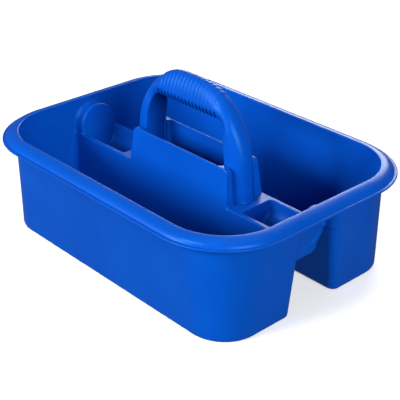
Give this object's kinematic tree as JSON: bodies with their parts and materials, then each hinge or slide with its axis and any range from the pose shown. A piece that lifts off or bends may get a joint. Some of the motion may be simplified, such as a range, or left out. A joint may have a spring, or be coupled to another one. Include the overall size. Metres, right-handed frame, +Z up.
{
  "type": "cleaning caddy",
  "caption": "Portable cleaning caddy: moulded tub with deep side bins, a raised centre box with round-bottomed troughs, and a ribbed arched carry handle.",
  "frame": {"origin": "middle of the base, on the surface that the caddy stands on", "axes": "+X along the tub's length and the handle's grip, +Y across the two bins, +Z up"},
  "size_m": [0.4666, 0.3524, 0.231],
  "materials": {
    "tub_plastic": "satin",
    "handle_plastic": "satin"
  },
  "bodies": {
    "root": {"tub": "tub_plastic", "handle": "handle_plastic"}
  },
  "joints": []
}
